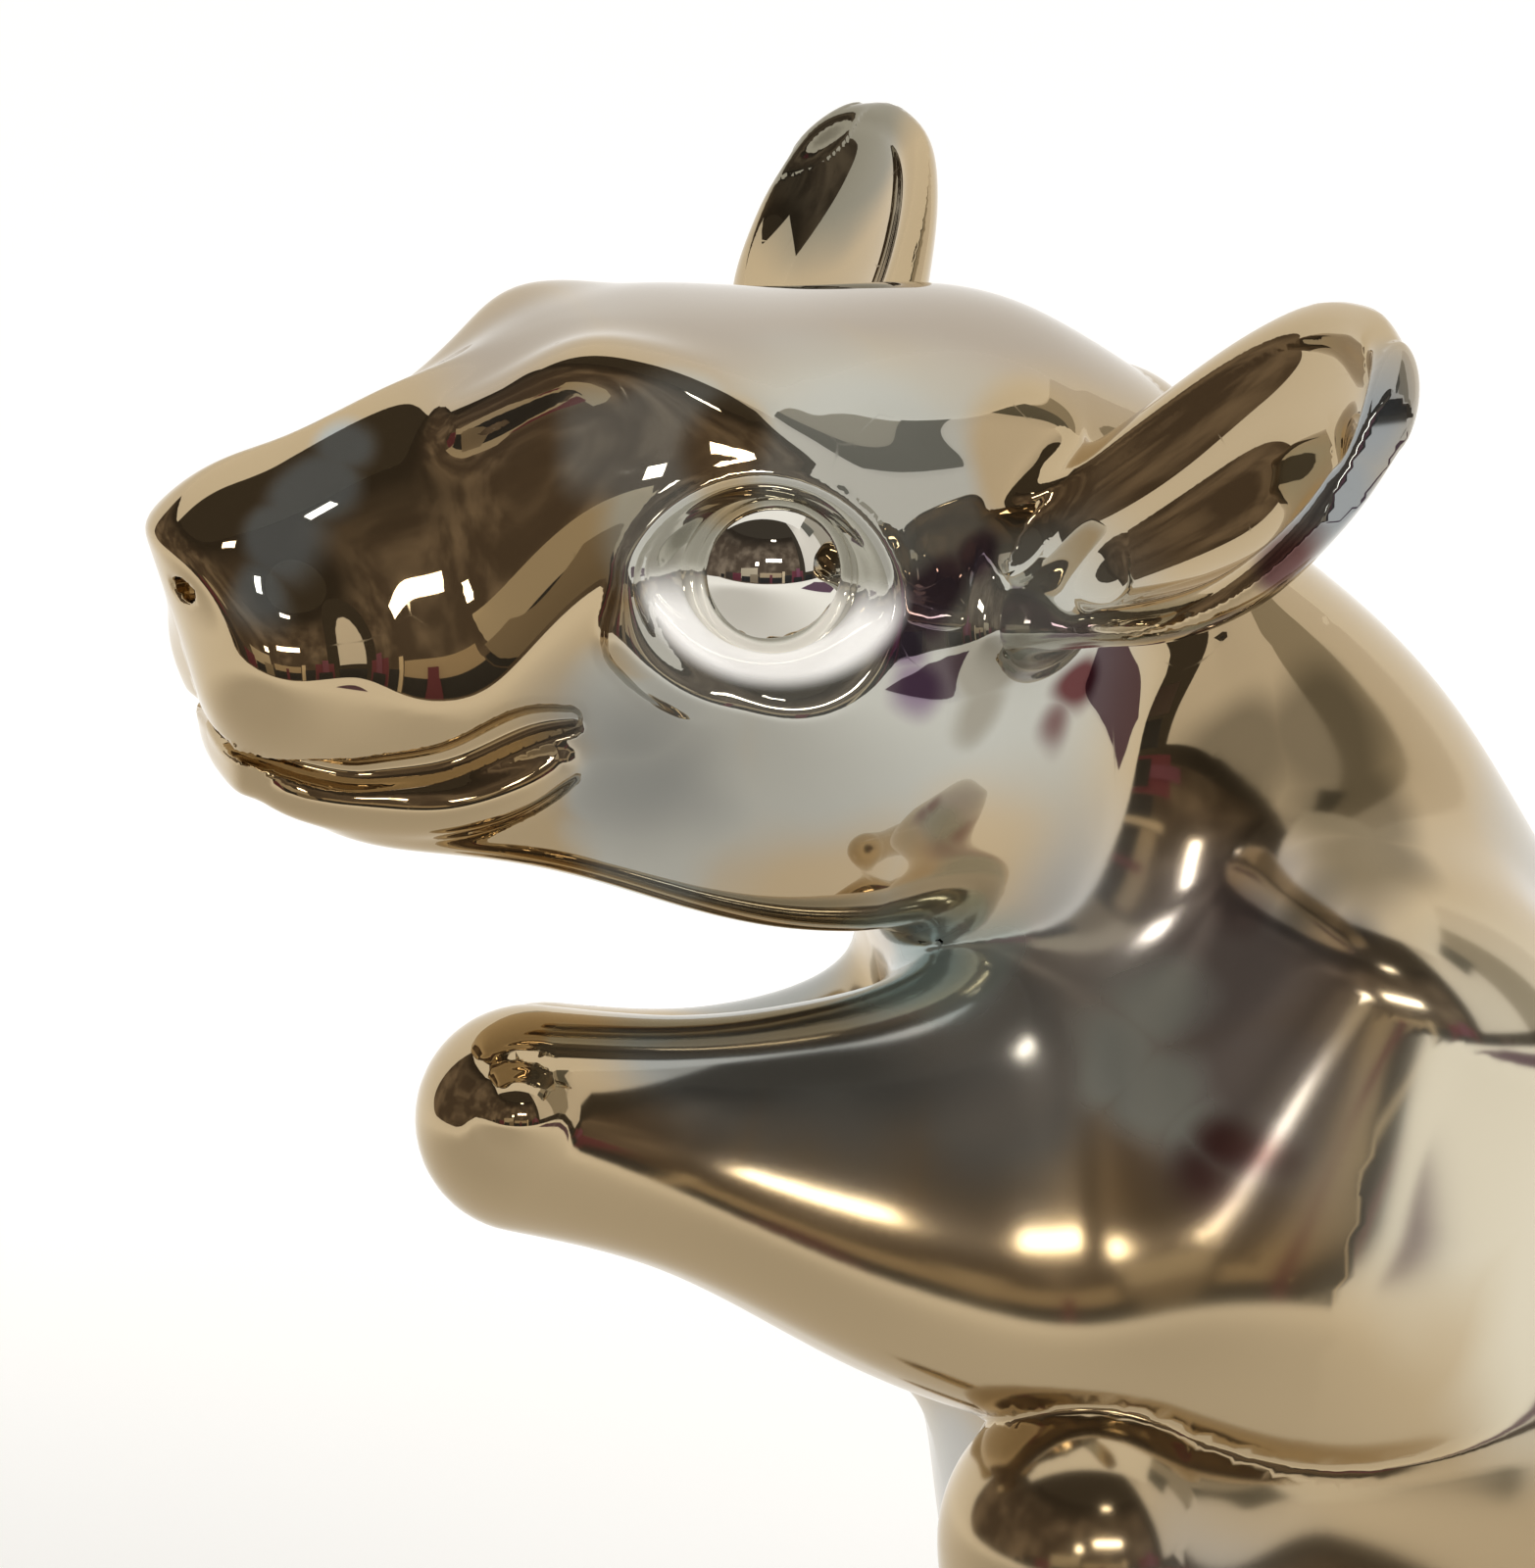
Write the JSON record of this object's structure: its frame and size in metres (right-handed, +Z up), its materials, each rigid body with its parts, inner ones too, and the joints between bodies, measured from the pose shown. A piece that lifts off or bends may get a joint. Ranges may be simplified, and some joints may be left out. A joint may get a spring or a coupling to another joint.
{
  "type": "animal figurine",
  "caption": "Rat figurine in mirror-lustred crystal, sitting up with its forepaws held out and its head turned to look ahead, on a flat ground seat",
  "frame": {"origin": "On the floor in the middle of the seat's front half, on the flat ground underside of the torso", "axes": "X to the rat's left, -Y the way it faces, +Z up"},
  "size_m": [0.0613, 0.086, 0.0827],
  "materials": {
    "silver_lustre": "polished",
    "gold_lustre": "polished",
    "eye_lustre": "polished"
  },
  "bodies": {
    "root": {"torso": "silver_lustre", "head": "silver_lustre", "left_eye": "eye_lustre", "right_eye": "eye_lustre", "left_ear": "gold_lustre", "right_ear": "gold_lustre", "left_foreleg": "gold_lustre", "right_foreleg": "gold_lustre", "left_hind_leg": "silver_lustre", "right_hind_leg": "silver_lustre", "left_hind_foot": "gold_lustre", "right_hind_foot": "gold_lustre", "tail": "gold_lustre"}
  },
  "joints": []
}
